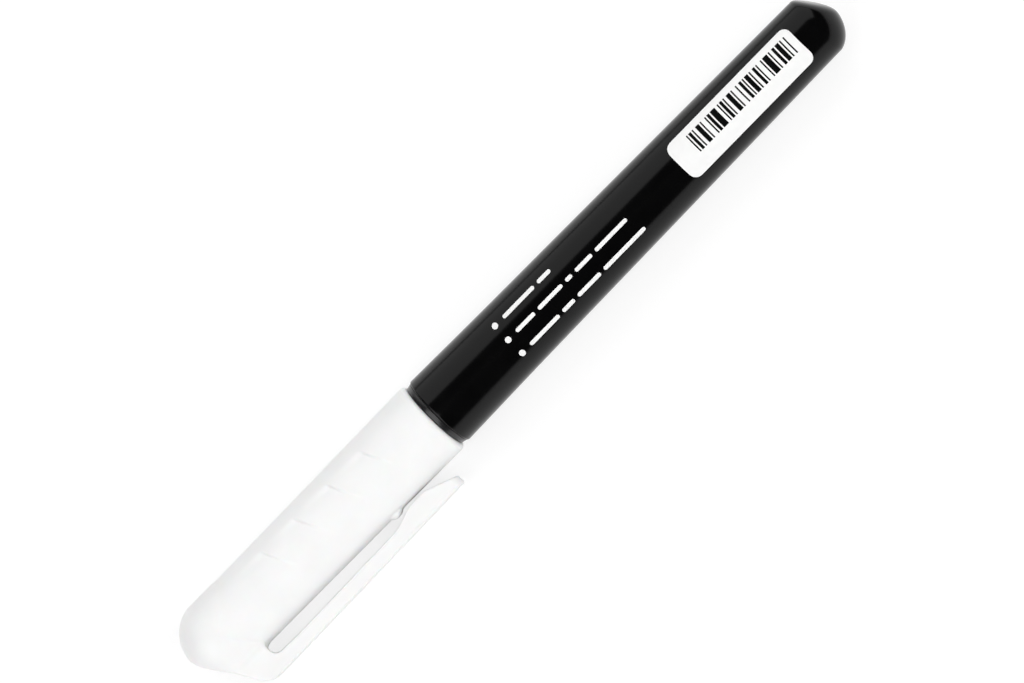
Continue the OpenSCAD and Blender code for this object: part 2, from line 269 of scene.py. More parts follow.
def barrelRadius(z):
    b = barrelSizes
    tailStart, soft = b["length"] - b["domeH"], b["flareSoft"]
    stations, radii = [0, b["flare"], tailStart], [b["frontR"], b["midR"], b["tailR"]]
    near = np.interp([z - soft, z, z + soft], stations, radii)
    return float(near.mean()) if soft < z < tailStart - soft else float(near[1])


def tailHeight(r, z):
    # the dome and its slanted flat, with a soft edge between them
    b = barrelSizes

    def height(angle):
        flat = b["length"] + (r * math.cos(angle) + b["flatX"]) * math.tan(math.radians(b["flatDeg"]))
        return -softMax(-z, -flat, b["flatSoft"])

    return height


def buildBarrel():
    b = barrelSizes
    tailStart = b["length"] - b["domeH"]
    # chamber and socket inside, from the closed end to the mouth
    rows = [
        (0, b["chamberEnd"]), (b["chamberR"] - b["chamberEdge"], b["chamberEnd"]),
        (b["chamberR"], b["chamberEnd"] - b["chamberEdge"]), (b["chamberR"], b["socketLen"]),
        (b["socketR"], b["socketLen"]), (b["socketR"], b["socketEdge"]),
        (b["socketR"] + b["socketEdge"], 0),
    ]
    for a in quarterTurn(b["edgeSteps"]):
        rows.append((b["frontR"] - b["edge"] * (1 - math.sin(a)), b["edge"] * (1 - math.cos(a))))
    rows += [(barrelRadius(z), z) for z in np.linspace(b["firstRow"], tailStart, b["rows"])]
    for a in quarterTurn(b["domeSteps"])[1:]:
        r, dome = b["tailR"] * math.cos(a), b["domeH"] * math.sin(a) ** b["domePower"]
        rows.append((r, tailHeight(r, tailStart + dome)))
    piece = makePiece("barrelShell", *spinRows(rows, b["turns"], False), sharpDeg=b["sharpDeg"])
    dress(piece, surfaceFinish("glossyBlack", barrelLook), "pen", ["barrel"])


buildBarrel()
print("barrel made")


# label and print: thin films that follow the barrel

filmSizes = {"cornerSteps": 6, "stepLen": 1.2, "columnWidth": 0.4, "leastColumns": 4, "sharpDeg": 30}


def wrapFilm(mark, lift, sink):
    # mark: station, sideways place, length, width and corner of a patch as seen from in front
    f = filmSizes
    z0, x0, length, width, corner = mark
    ends = [corner * (1 - math.cos(a)) for a in quarterTurn(f["cornerSteps"])]
    inner = np.linspace(ends[-1], length - ends[-1], max(2, int(length / f["stepLen"])))[1:-1]
    steps = ends + list(inner) + [length - e for e in reversed(ends)]
    columns = max(f["leastColumns"], int(width / f["columnWidth"]))
    points = []
    for level in (lift, -sink):
        for step in steps:
            inside = max(corner - step, corner - (length - step), 0)
            half = width / 2 - corner + math.sqrt(max(corner ** 2 - inside ** 2, 0))
            z = z0 - length / 2 + step
            r = barrelRadius(z) + level
            for k in range(columns + 1):
                x = x0 + half * (2 * k / columns - 1)
                points.append((x, -math.sqrt(r * r - x * x), z))
    wide, count = columns + 1, len(steps) * (columns + 1)
    faces = []
    for i in range(len(steps) - 1):
        for k in range(columns):
            a = i * wide + k
            faces.append((a, a + 1, a + wide + 1, a + wide))
            faces.append((count + a, count + a + wide, count + a + wide + 1, count + a + 1))
    # the rim joins the upper and the lower face
    rim = list(range(wide)) + [i * wide + columns for i in range(1, len(steps))]
    rim += list(range(count - 2, count - wide - 1, -1))
    rim += [i * wide for i in range(len(steps) - 2, 0, -1)]
    for a, b in zip(rim, rim[1:] + rim[:1]):
        faces.append((a, count + a, count + b, b))
    return points, faces


def filmPiece(name, marks, lift, sink):
    points, faces = [], []
    for mark in marks:
        more, moreFaces = wrapFilm(mark, lift, sink)
        faces += [tuple(len(points) + i for i in face) for face in moreFaces]
        points += more
    return makePiece(name, points, faces, sharpDeg=filmSizes["sharpDeg"])


labelSizes = {"station": 65.65, "length": 25.9, "width": 6.8, "corner": 1.3, "thick": 0.1, "gap": 0.005}
labelLook = {
    "shades": ((0.9, 0.9, 0.895), (0.93, 0.93, 0.925)), "patch": 900, "grain": 9000,
    "rough": (0.42, 0.55), "depth": 0.00001, "relief": 0.12,
}
barSizes = {
    "first": 56.4, "unit": 0.2435, "side": -0.75, "height": 3.2, "corner": 0.02,
    "lift": 0.008, "sink": 0.02,
    # bars and gaps are counted in units
    "widths": (1, 2, 1, 3, 1, 1, 2, 4, 1, 2, 1, 3, 1, 1, 2, 1, 3, 1, 2, 1, 1, 4, 1, 2, 3, 1, 1),
    "gaps": (1, 1, 2, 1, 3, 1, 1, 2, 1, 1, 2, 1, 3, 2, 1, 1, 1, 2, 1, 3, 1, 1, 2, 1, 1, 2, 0),
}
barLook = {
    "shades": ((0.0008, 0.0008, 0.0009), (0.0016, 0.0016, 0.0017)), "patch": 4000, "grain": 12000,
    "rough": (0.5, 0.65), "depth": 0.000005, "relief": 0.1, "ior": 1.17,
}


def buildLabel():
    s = labelSizes
    mark = (s["station"], 0, s["length"], s["width"], s["corner"])
    sheet = filmPiece("labelSheet", [mark], s["thick"], -s["gap"])
    dress(sheet, surfaceFinish("labelVinyl", labelLook), "pen", ["barrel_label"])
    b = barSizes
    marks, z = [], b["first"]
    for width, gap in zip(b["widths"], b["gaps"]):
        wide = width * b["unit"]
        marks.append((z + wide / 2, b["side"], wide, b["height"], b["corner"]))
        z += (width + gap) * b["unit"]
    bars = filmPiece("labelBars", marks, s["thick"] + b["lift"], b["sink"] - s["thick"])
    dress(bars, surfaceFinish("barInk", barLook), "pen")


printSizes = {
    "dotZ": 15.85, "dotR": 0.5, "lineStart": 17.6, "height": 0.62, "gap": 0.8,
    "sides": (-2.95, -0.08, 2.82),
    "rows": ((6.6, 2.7), (3.95, 5.1, 1.3, 3.5, 6.7), (6.2, 2.5, 4.8, 8.8)),
    "cornerGap": 0.001, "lift": 0.018, "sink": 0.02,
}
printLook = {
    "shades": ((0.9, 0.9, 0.895), (0.93, 0.93, 0.925)), "patch": 5000, "grain": 9000,
    "rough": (0.4, 0.55), "depth": 0.000005, "relief": 0.15,
}


def buildPrint():
    # three rows, each a round point and plain strokes
    p = printSizes
    marks = []
    for side, strokes in zip(p["sides"], p["rows"]):
        marks.append((p["dotZ"], side, 2 * p["dotR"], 2 * p["dotR"], p["dotR"] - p["cornerGap"]))
        z = p["lineStart"]
        for stroke in strokes:
            marks.append((z + stroke / 2, side, stroke, p["height"], p["height"] / 2 - p["cornerGap"]))
            z += stroke + p["gap"]
    strokesPiece = filmPiece("barrelPrint", marks, p["lift"], p["sink"])
    dress(strokesPiece, surfaceFinish("printWhite", printLook), "pen")


buildLabel()
buildPrint()
print("label and print made")


# cap and clip: one moulding, made as a field of distances and skinned

capSizes = {
    "mouthZ": -0.95, "endZ": -53.7, "headZ": -43.6, "mouthR": 6.5, "tubeR": 6.2, "headR": 6.35,
    "overMouth": 1.1, "lip": 0.8, "domeH": 6.0, "flatDeg": 34.5, "flatX": 0.3, "flatSoft": 0.7,
    "archDrop": 3.6, "archHalf": 5.08, "archRamp": 0.6, "archWiden": 2.0, "archWidenLen": 2.5,
    "boreR": 5.4, "boreEnd": -13.55, "boreEdge": 0.3, "seatR": 5.05, "seatEnd": -46.5,
    "ledgeR": 3.2, "ledgeEnd": -49.5,
    "recesses": 4, "recessStart": -12.2, "recessPitch": 7.15, "recessTop": 0.77, "recessLow": 0.35,
    "recessSlope": 0.54, "recessLen": 5.6, "recessDepth": 0.4, "recessEdge": 0.4, "recessSide": 1.4,
    "nubZ": -15.55, "nubR": 1.2, "nubH": 0.5, "nubWidth": 4.1, "nubEdge": 0.9, "nubBlend": 0.45,
}
clipSizes = {
    "reach": 10.8, "thick": 2.45, "slopeDeg": 0.797, "edge": 0.22, "cornerSteps": 6,
    "width": 5.6, "rootWidth": 6.0, "widthFade": (-1, 6),  # this fade is counted from the cut
    "rootX": 6.9, "rootZ": -49.16, "rootDeg": 28.7, "rootRound": 2.4, "innerX": 3.0,
    "slotX": 8.2, "slotEnd": -43.6, "slotRound": 1.3, "slotTaper": 0.12, "slotTaperLen": 3.0,
    "seam": 0.04, "fillet": 0.5, "filletFade": (0.8, 2.4),  # this one and the next two, from the slot's end
    "slotDraft": 0.14, "draftIn": (-2, -1), "draftOut": (2, 5), "faceDraft": 0.12, "faceSoft": 0.8,
    "bulge": 1.2, "bulgeRound": 1.6, "riseAt": -18.1, "riseLen": 6.0, "riseSteps": 10,
    "flatEnd": -10.2, "heelShift": 0.35, "heelEdge": 0.35,
    "tipZ": -4.5, "tipRound": 1.6, "tipShare": 0.62, "tipEdge": 0.3,
    "bevel": 0.12, "tipBevel": 0.6, "bevelFrom": -17.5, "bevelLen": 2.5, "bevelSoft": 0.08,
    "splitZ": -41.74, "splitX": 7.0, "splitNear": 1.0, "splitSlack": 1e-5,  # the cut
    "bendX": 9.5, "bendLen": 6.0,
}
skinSizes = {
    "cell": 0.23, "margin": 3, "sideMargin": 5, "slopeStep": 0.02,  # margins are counted in cells
    "rounds": 3, "leastSlope": 0.05, "longestMove": 0.1,
}
capLook = {
    "shades": ((0.9, 0.902, 0.9), (0.93, 0.932, 0.93)), "patch": 180, "grain": 4200,
    "rough": (0.34, 0.44), "depth": 0.00001, "relief": 0.06, "glow": 0.1,
}


def roundAnd(u, v, r):
    return np.minimum(np.maximum(u, v), -r) + np.hypot(np.maximum(u + r, 0), np.maximum(v + r, 0))


def roundOr(u, v, r):
    return -roundAnd(-u, -v, r)


def clipFace(z):
    # how far out the arm's outer face lies, a little less towards the tip
    k = clipSizes
    return k["reach"] - np.maximum(0, z - k["splitZ"]) * math.tan(math.radians(k["slopeDeg"]))


def clipOutline():
    # side outline of root and arm in (x, z): out to the clip and along the marker
    k = clipSizes
    rootLean = math.tan(math.radians(k["rootDeg"]))
    tip, thin = k["tipZ"], k["tipShare"] * k["thick"]
    heelX = clipFace(k["flatEnd"]) - k["thick"] - k["bulge"]
    corners = [
        (k["innerX"], k["rootZ"] + (k["innerX"] - k["rootX"]) * rootLean, 0),
        (k["reach"], k["rootZ"] + (k["reach"] - k["rootX"]) * rootLean, k["rootRound"]),
        (k["reach"], k["splitZ"], 0),
        (clipFace(tip), tip, k["tipEdge"]),
        (clipFace(tip) - thin, tip, k["heelEdge"]),
        (heelX, k["flatEnd"] + k["heelShift"], k["bulgeRound"]),
    ]
    for i in range(k["riseSteps"], -1, -1):
        z = k["riseAt"] + k["riseLen"] * i / k["riseSteps"]
        rise = k["bulge"] * (1 - math.cos(math.pi * i / k["riseSteps"])) / 2
        corners.append((clipFace(z) - k["thick"] - rise, z, 0))
    corners.append((k["slotX"] + k["slotTaper"], k["splitZ"] + k["slotTaperLen"], 0))
    corners.append((k["slotX"], k["slotEnd"], k["slotRound"]))
    corners.append((k["innerX"], k["slotEnd"], 0))
    return np.array(softCorners(corners, k["cornerSteps"]))


clipEdge = clipOutline()


def outlineDistance(x, z):
    # signed distance to the clip's side outline
    flatX, flatZ = np.ravel(x), np.ravel(z)
    best = np.full(flatX.shape, np.inf)
    inside = np.zeros(flatX.shape, bool)
    for (ax, az), (bx, bz) in zip(clipEdge, np.roll(clipEdge, -1, axis=0)):
        ex, ez = bx - ax, bz - az
        px, pz = flatX - ax, flatZ - az
        t = np.clip((px * ex + pz * ez) / (ex * ex + ez * ez), 0, 1)
        best = np.minimum(best, (px - ex * t) ** 2 + (pz - ez * t) ** 2)
        if az != bz:
            inside ^= ((az <= flatZ) != (bz <= flatZ)) & (flatX < ax + (flatZ - az) * ex / ez)
    return (np.sqrt(best) * np.where(inside, -1, 1)).reshape(np.shape(x))


def clipDraft(x, y, z):
    # a mould's draft: the slot's end and the tip lean to the closed end as they go back,
    # and the outer face falls off to its edges
    k = clipSizes
    fromSlot = z - k["slotEnd"]
    near = ease(*k["draftIn"], fromSlot) * (1 - ease(*k["draftOut"], fromSlot))
    near = near + ease(k["riseAt"], k["flatEnd"], z)
    fall = k["faceDraft"] * (np.hypot(y, k["faceSoft"]) - k["faceSoft"])
    out = x + fall * ease(k["slotX"], k["reach"], x)
    return np.broadcast_arrays(out, z + k["slotDraft"] * (y + k["rootWidth"] / 2) * near)


def clipField(x, y, z):
    k = clipSizes
    side = np.abs(y)
    widen = 1 - ease(*k["widthFade"], z - k["splitZ"])
    half = k["width"] / 2 + (k["rootWidth"] - k["width"]) / 2 * widen
    plan = roundAnd(side - half, z - k["tipZ"], k["tipRound"])
    bar = roundAnd(outlineDistance(*clipDraft(x, y, z)), plan, k["edge"])
    toTip = ease(k["bevelFrom"], k["bevelFrom"] + k["bevelLen"], z)
    bevel = k["bevel"] + (k["tipBevel"] - k["bevel"]) * toTip
    slant = (x - clipFace(z) + side - half + bevel) * math.sqrt(0.5)  # at 45 degrees
    return softMax(bar, slant, k["bevelSoft"])


def fingerRecess(x, z):
    # depth of the slanted recesses: deepest towards the mouth and away from the clip,
    # running out to the closed end and to the clip
    c = capSizes
    top, low = -c["recessTop"] * c["tubeR"], c["recessLow"] * c["tubeR"]
    depth = 0
    for i in range(c["recesses"]):
        z0 = c["recessStart"] - i * c["recessPitch"]
        behind = (z0 + c["recessSlope"] * (x - top) - z) / math.hypot(1, c["recessSlope"])
        edges = ease(0, c["recessSide"], x - top) * ease(0, c["recessEdge"], behind)
        depth = depth + edges * ease(0, low - top, low - x) * (1 - ease(0, c["recessLen"], behind))
    return depth * c["recessDepth"]


def capRadius(x, z):
    # the tube widens to its mouth, and by a low arched step to the head
    c = capSizes
    share = np.clip((z - c["headZ"]) / (c["mouthZ"] - c["headZ"]), 0, c["overMouth"])
    arch = c["headZ"] - c["archDrop"] * np.maximum(0, 1 - np.abs(x) / c["archHalf"])
    ramp = c["archRamp"] * (1 + c["archWiden"] * ease(0, c["archWidenLen"], -x))
    step = 1 - ease(0, 1, (z - arch) / ramp)
    tube = c["tubeR"] + (c["mouthR"] - c["tubeR"]) * share
    return tube + (c["headR"] - c["tubeR"]) * step - fingerRecess(x, z)


def nubField(x, y, z):
    # the small bump on the tube, under the arm
    c = capSizes
    share = (c["nubZ"] - c["headZ"]) / (c["mouthZ"] - c["headZ"])
    tube = c["tubeR"] + (c["mouthR"] - c["tubeR"]) * share
    nub = np.hypot(x - tube - c["nubH"] + c["nubR"], z - c["nubZ"]) - c["nubR"]
    return roundAnd(nub, np.abs(y) - c["nubWidth"] / 2, c["nubEdge"])


def capField(x, y, z):
    c, k = capSizes, clipSizes
    rad = np.hypot(x, y)
    # the tube with its dome, cut by a slanted flat
    wide = capRadius(x, z)
    rise = np.clip((c["endZ"] + c["domeH"] - z) / c["domeH"], 0, None)
    body = ((rad / wide) ** 2 + rise ** 2 - 1) * wide / 2
    flat = math.radians(c["flatDeg"])
    slant = (x - c["flatX"]) * math.sin(flat) - (z - c["endZ"]) * math.cos(flat)
    body = softMax(body, slant, c["flatSoft"])
    body = roundAnd(body, z - c["mouthZ"], c["lip"])
    body = roundOr(body, nubField(x, y, z), c["nubBlend"])
    # a fillet where the root grows out of the tube, and a sharp seam further on
    blend = k["seam"] + k["fillet"] * (1 - ease(*k["filletFade"], z - k["slotEnd"]))
    whole = roundOr(body, clipField(x, y, z), blend)
    # each bore by its radius and its end
    bores = ((c["boreR"], c["boreEnd"]), (c["seatR"], c["seatEnd"]), (c["ledgeR"], c["ledgeEnd"]))
    bore = np.minimum.reduce([np.maximum(rad - r, end - z) for r, end in bores])
    return roundAnd(whole, -bore, c["boreEdge"])


def slopeOf(points):
    step = skinSizes["slopeStep"]
    slope = np.empty_like(points)
    for axis in range(3):
        move = np.zeros(3)
        move[axis] = step
        slope[:, axis] = (capField(*(points + move).T) - capField(*(points - move).T)) / (2 * step)
    return slope


def skinCap():
    c, s = capSizes, skinSizes
    cell = s["cell"]
    margin, sideMargin = s["margin"] * cell, s["sideMargin"] * cell
    low = np.array((-c["headR"] - margin, -c["headR"] - margin, c["endZ"] - margin))
    high = np.array((clipSizes["reach"] + margin, c["headR"] + sideMargin, c["mouthZ"] + margin))
    lines = [np.arange(low[i], high[i] + cell, cell) for i in range(3)]
    field = capField(*np.meshgrid(*lines, indexing="ij", sparse=True))
    grid = openvdb.FloatGrid(1.0)  # outside, where nothing is set
    grid.copyFromArray(np.ascontiguousarray(field, np.float32))
    points, triangles, quads = grid.convertToPolygons(0.0, 0.0)
    points = low + np.asarray(points, float) * cell
    for _ in range(s["rounds"]):  # settles each point on the true surface
        slope = slopeOf(points)
        push = capField(*points.T) / np.maximum((slope ** 2).sum(1), s["leastSlope"])
        points -= np.clip(push, -s["longestMove"], s["longestMove"])[:, None] * slope
    return points, [tuple(f) for f in triangles.tolist()] + [tuple(f) for f in quads.tolist()]


def splitClip(points, faces):
    # cuts the arm off at its root and closes both ends
    k = clipSizes
    bm = bmesh.new()
    verts = [bm.verts.new(p) for p in points]
    for face in faces:
        bm.faces.new([verts[i] for i in face])
    bmesh.ops.recalc_face_normals(bm, faces=bm.faces)

    def atSplit(v):
        return v.co.x > k["splitX"] and abs(v.co.z - k["splitZ"]) < k["splitNear"]

    near = [f for f in bm.faces if all(atSplit(v) for v in f.verts)]
    parts = set(near) | {e for f in near for e in f.edges} | {v for f in near for v in f.verts}
    plane = {"plane_co": (0, 0, k["splitZ"]), "plane_no": (0, 0, 1), "dist": k["splitSlack"]}
    made = bmesh.ops.bisect_plane(bm, geom=list(parts), **plane)
    loop = [e for e in made["geom_cut"] if isinstance(e, bmesh.types.BMEdge)]
    bmesh.ops.split_edges(bm, edges=loop)
    # past the bend the point furthest out is on the arm, and the rest of the arm is joined to it
    pastBend = [v for v in bm.verts if v.co.z > k["splitZ"] + k["bendLen"]]
    reached = {max(pastBend, key=lambda v: v.co.x)}
    ahead = list(reached)
    while ahead:
        for edge in ahead.pop().link_edges:
            for v in edge.verts:
                if v not in reached:
                    reached.add(v)
                    ahead.append(v)
    bmesh.ops.holes_fill(bm, edges=[e for e in bm.edges if e.is_boundary], sides=0)
    both = []
    for wanted in (False, True):
        keep = [v for v in bm.verts if (v in reached) == wanted]
        number = {v: i for i, v in enumerate(keep)}
        kept = [[number[v] for v in f.verts] for f in bm.faces if f.verts[0] in number]
        both.append((np.array([v.co for v in keep]), kept))
    bm.free()
    return both


def capPiece(name, points, faces):
    # a smooth skin whose shading follows the field, and whose cut end stays flat
    piece = makePiece(name, points, faces, sharpDeg=180)
    mesh = piece.data
    slope = slopeOf(points)
    slope /= np.maximum(np.linalg.norm(slope, axis=1), tiny)[:, None]
    world = slope @ penAxes
    corners = np.empty(len(mesh.loops), np.int32)
    mesh.loops.foreach_get("vertex_index", corners)
    normals = world[corners]
    for face in mesh.polygons:
        if len(face.vertices) > 4:  # only the face that closes the cut has so many
            normals[list(face.loop_indices)] = face.normal
    mesh.normals_split_custom_set(normals.tolist())
    return piece


def buildCap():
    finish = surfaceFinish("satinWhite", capLook)
    shell, arm = splitClip(*skinCap())
    shellPiece = capPiece("capShell", *shell)
    dress(shellPiece, finish, "cap", ["cap"])
    armPiece = capPiece("clipArm", *arm)
    dress(armPiece, finish, None, ["pocket_clip"])
    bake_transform(armPiece)
    print("cap faces", len(shell[1]), "clip faces", len(arm[1]))


buildCap()
print("cap and clip made")


# writing end: outlines of (radius, station, rounding)

sectionSizes = {"outline": [
    (4.43, 9.0, 0.1), (4.83, 8.4, 0.2), (4.83, 0.0, 0.03), (6.0, 0.0, 0.05), (5.8, -0.9, 0.15),
    (5.25, -0.9, 0.05), (5.25, -4.75, 0.4), (5.34, -5.2, 0.4), (5.34, -5.7, 0.4), (5.25, -6.15, 0.4),
    (5.25, -11.95, 0.6), (4.30, -14.95, 0.6), (4.30, -23.95, 0.25), (3.02, -23.95, 0.05),
    (3.02, -10.0, 0), (1.6, -10.0, 0.05), (1.6, -8.0, 0.05), (3.38, -8.0, 0), (3.38, 9.0, 0.1),
]}
sectionLook = {
    "shades": ((0.006, 0.006, 0.0065), (0.01, 0.01, 0.0105)), "patch": 400, "grain": 6000,
    "rough": (0.2, 0.28), "depth": 0.00001, "relief": 0.06,
}
holderSizes = {"outline": [
    (3.0, -10.0, 0.1), (3.0, -23.95, 0.02), (3.95, -23.95, 0.15), (3.95, -24.95, 0.5),
    (2.35, -33.7, 0.4), (2.15, -33.95, 0.12), (1.56, -33.95, 0.1), (1.56, -25.95, 0.02),
    (2.22, -25.95, 0.02), (2.22, -10.0, 0.05),
]}
linerSizes = {"outline": [
    (4.66, -15.95, 0.1), (5.03, -15.95, 0.1), (5.03, -46.5, 0.2), (0, -46.5, 0), (0, -45.5, 0),
    (4.51, -45.5, 0.4), (4.51, -19.45, 0.05), (4.36, -19.45, 0.1), (4.36, -16.35, 0.3),
]}
linerLook = {
    "shades": ((0.74, 0.745, 0.735), (0.8, 0.805, 0.8)), "patch": 350, "grain": 3000,
    "rough": (0.35, 0.5), "depth": 0.00001, "relief": 0.1, "glow": 0.2,
}
nibSizes = {
    "r": 1.5, "back": -13.0, "backEdge": 0.1, "tip": -39.45, "bulletH": 2.6, "power": 1.1,
    "steps": 20, "turns": 96,
}
nibLook = {
    "shades": ((0.62, 0.61, 0.58), (0.82, 0.815, 0.79)), "patch": 300, "grain": 700,
    "stretch": (0.12, 6, 6), "rough": (0.75, 0.95), "depth": 0.00004, "relief": 0.5, "fuzz": 0.15,
}


def nibOutline():
    n = nibSizes
    outline = [(0, n["back"], 0), (n["r"], n["back"], n["backEdge"])]
    for a in quarterTurn(n["steps"]):
        fromTip = n["bulletH"] * (1 - math.sin(a) ** n["power"])
        outline.append((n["r"] * math.cos(a), n["tip"] + fromTip, 0))
    return outline


def buildWritingEnd():
    black = surfaceFinish("sectionBlack", sectionLook)
    section = lathePiece("frontSection", sectionSizes["outline"])
    dress(section, black, "pen", ["front_section"])
    holder = lathePiece("noseCone", holderSizes["outline"])
    dress(holder, black, "pen", ["nib_holder"])
    liner = lathePiece("innerSleeve", linerSizes["outline"])
    dress(liner, surfaceFinish("linerMilk", linerLook), "cap", ["inner_cap"])
    nib = lathePiece("fibreNib", nibOutline(), nibSizes["turns"])
    dress(nib, surfaceFinish("nibFibre", nibLook), "nib_unit", ["nib"])


buildWritingEnd()
print("writing end made")


# spring, valve, felt and ball inside

springSizes = {
    "r": 1.465, "wire": 0.2, "start": -4.4, "end": 4.45, "turns": 7, "steps": 40, "sides": 14,
    "closeTurns": 0.9, "closePace": 0.32, "travel": 1.8, "sharpDeg": 50,
}
steelLook = {
    "shades": ((0.5, 0.5, 0.51), (0.62, 0.62, 0.63)), "patch": 900, "grain": 5000, "metal": 1,
    "rough": (0.18, 0.3), "depth": 0.00001, "relief": 0.08,
}
ballLook = {**steelLook, "rough": (0.1, 0.16)}
valveLook = {
    "shades": ((0.6, 0.6, 0.6), (0.68, 0.68, 0.675)), "patch": 500, "grain": 4000,
    "rough": (0.35, 0.48), "depth": 0.00001, "relief": 0.08,
}
rubberLook = {
    "shades": ((0.055, 0.06, 0.066), (0.08, 0.085, 0.092)), "patch": 900, "grain": 5000,
    "rough": (0.6, 0.8), "depth": 0.00002, "relief": 0.2,
}
feltLook = {
    "shades": ((0.66, 0.64, 0.58), (0.8, 0.785, 0.73)), "patch": 1500, "grain": 4000,
    "stretch": (0.3, 1, 1), "rough": (0.85, 1.0), "depth": 0.00006, "relief": 0.6, "fuzz": 0.3,
}


def buildSpring():
    s = springSizes
    count = s["turns"] * s["steps"]
    turn = np.linspace(0, s["turns"], count + 1)
    # the end turns lie close, the ones between take up the rest
    apart = ease(0, s["closeTurns"], np.minimum(turn, s["turns"] - turn))
    pace = s["closePace"] + (1 - s["closePace"]) * apart
    rise = np.concatenate(([0], np.cumsum((pace[1:] + pace[:-1]) / 2)))
    height = s["start"] + (s["end"] - s["start"]) * rise / rise[-1]
    points = []
    for t, z in zip(turn, height):
        a = 2 * math.pi * t
        for k in range(s["sides"]):
            b = 2 * math.pi * k / s["sides"]
            r = s["r"] + s["wire"] * math.cos(b)
            points.append((r * math.cos(a), r * math.sin(a), z + s["wire"] * math.sin(b)))
    faces = []
    for i in range(count):
        for k in range(s["sides"]):
            n = (k + 1) % s["sides"]
            a, b = i * s["sides"], (i + 1) * s["sides"]
            faces.append((a + k, a + n, b + n, b + k))
    faces += [tuple(range(s["sides"])), tuple(range(count * s["sides"], (count + 1) * s["sides"]))]
    piece = makePiece("springCoil", points, faces, sharpDeg=s["sharpDeg"])
    dress(piece, surfaceFinish("springSteel", steelLook), "pen", ["valve_spring"])
    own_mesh(piece)


def dressInside():
    plain = surfaceFinish("valvePlastic", valveLook)
    finishes = {
        "valve_stem": plain, "valve_cage": plain,
        "valve_gasket": surfaceFinish("sealRubber", rubberLook),
        "ink_felt": surfaceFinish("inkFelt", feltLook),
        "mixing_ball": surfaceFinish("ballSteel", ballLook),
    }
    for name, finish in finishes.items():
        dress(frame["nodes"][name], finish)


buildSpring()
dressInside()
print("inside made")


# floor, light and camera, in metres

floorSizes = {
    "reach": 30.0, "whiteFrom": 0.13, "whiteTo": 0.35,
    "paint": 0.77, "lift": 0.35, "seenPaint": 0.31, "seenLift": 0.74,
}


def feed(links, value, socket):
    # a number is set on the socket, an output is linked to it
    if isinstance(value, (int, float)):
        socket.default_value = value
    else:
        links.new(value, socket)


def mathNode(nodes, links, operation, first, second):
    node = nodes.new("ShaderNodeMath")
    node.operation = operation
    feed(links, first, node.inputs[0])
    feed(links, second, node.inputs[1])
    return node.outputs["Value"]


def paintAndGlow(nodes, links, shade, glow):
    # matt paint that also gives some light of its own
    paint, light = nodes.new("ShaderNodeBsdfDiffuse"), nodes.new("ShaderNodeEmission")
    paint.inputs["Color"].default_value = (shade, shade, shade, 1)
    feed(links, glow, light.inputs["Strength"])
    both = nodes.new("ShaderNodeAddShader")
    links.new(paint.outputs["BSDF"], both.inputs[0])
    links.new(light.outputs["Emission"], both.inputs[1])
    return both.outputs["Shader"]


def mixShaders(nodes, links, share, first, second):
    mix = nodes.new("ShaderNodeMixShader")
    links.new(share, mix.inputs["Fac"])
    links.new(first, mix.inputs[1])
    links.new(second, mix.inputs[2])
    return mix.outputs["Shader"]


def floorFinish():
    # paint that keeps the shadow near the marker and runs out into plain white,
    # with a paler shadow for the camera than for the gloss
    f = floorSizes
    finish = bpy.data.materials.new("floorPaint")
    finish.use_nodes = True
    nodes, links = finish.node_tree.nodes, finish.node_tree.links
    nodes.clear()
    path = nodes.new("ShaderNodeLightPath")
    byCamera = path.outputs["Is Camera Ray"]
    seen = mathNode(nodes, links, "MAXIMUM", byCamera, path.outputs["Is Glossy Ray"])
    seen = mathNode(nodes, links, "MAXIMUM", seen, path.outputs["Is Transmission Ray"])
    lift = mathNode(nodes, links, "MULTIPLY", seen, f["lift"])
    painted = paintAndGlow(nodes, links, f["paint"], lift)
    pale = paintAndGlow(nodes, links, f["seenPaint"], f["seenLift"])
    near = mixShaders(nodes, links, byCamera, painted, pale)
    length = nodes.new("ShaderNodeVectorMath")
    length.operation = "LENGTH"
    links.new(nodes.new("ShaderNodeNewGeometry").outputs["Position"], length.inputs[0])
    fade = nodes.new("ShaderNodeMapRange")
    fade.inputs["From Min"].default_value = f["whiteFrom"]
    fade.inputs["From Max"].default_value = f["whiteTo"]
    links.new(length.outputs["Value"], fade.inputs["Value"])
    far = mathNode(nodes, links, "MULTIPLY", fade.outputs["Result"], seen)
    white = nodes.new("ShaderNodeEmission")
    white.inputs["Strength"].default_value = 1
    whole = mixShaders(nodes, links, far, near, white.outputs["Emission"])
    links.new(whole, nodes.new("ShaderNodeOutputMaterial").inputs["Surface"])
    return finish


def buildFloor():
    r = floorSizes["reach"]
    mesh = bpy.data.meshes.new("studioFloor")
    mesh.from_pydata([(-r, -r, 0), (r, -r, 0), (r, r, 0), (-r, r, 0)], [], [(0, 1, 2, 3)])
    mesh.materials.append(floorFinish())
    floor = bpy.data.objects.new("studioFloor", mesh)
    scene.collection.objects.link(floor)


# aim is a place along the marker, and mirrored says whether the gloss shows the lamp
lampSizes = {
    "backCard": {
        "place": (0.3, 0.44, 0.41), "aim": 0.3, "size": (1.2, 0.8), "bright": 1.17, "mirrored": True,
    },
    "capBox": {
        "place": (-0.78, -0.33, 0.7), "aim": 0, "size": (0.9, 1.2), "bright": 2.05, "mirrored": True,
    },
    "frontBox": {
        "place": (0.8, -0.4, 1.0), "aim": 0.8, "size": (1.2, 0.24), "bright": 6.9, "mirrored": False,
    },
    "sideBox": {
        "place": (0.3, -0.9, 0.5), "aim": 0, "size": (1.2, 0.6), "bright": 1.95, "mirrored": False,
    },
}
roomSizes = {"glow": 0.05, "bandFrom": 0.045, "bandTo": 0.09}


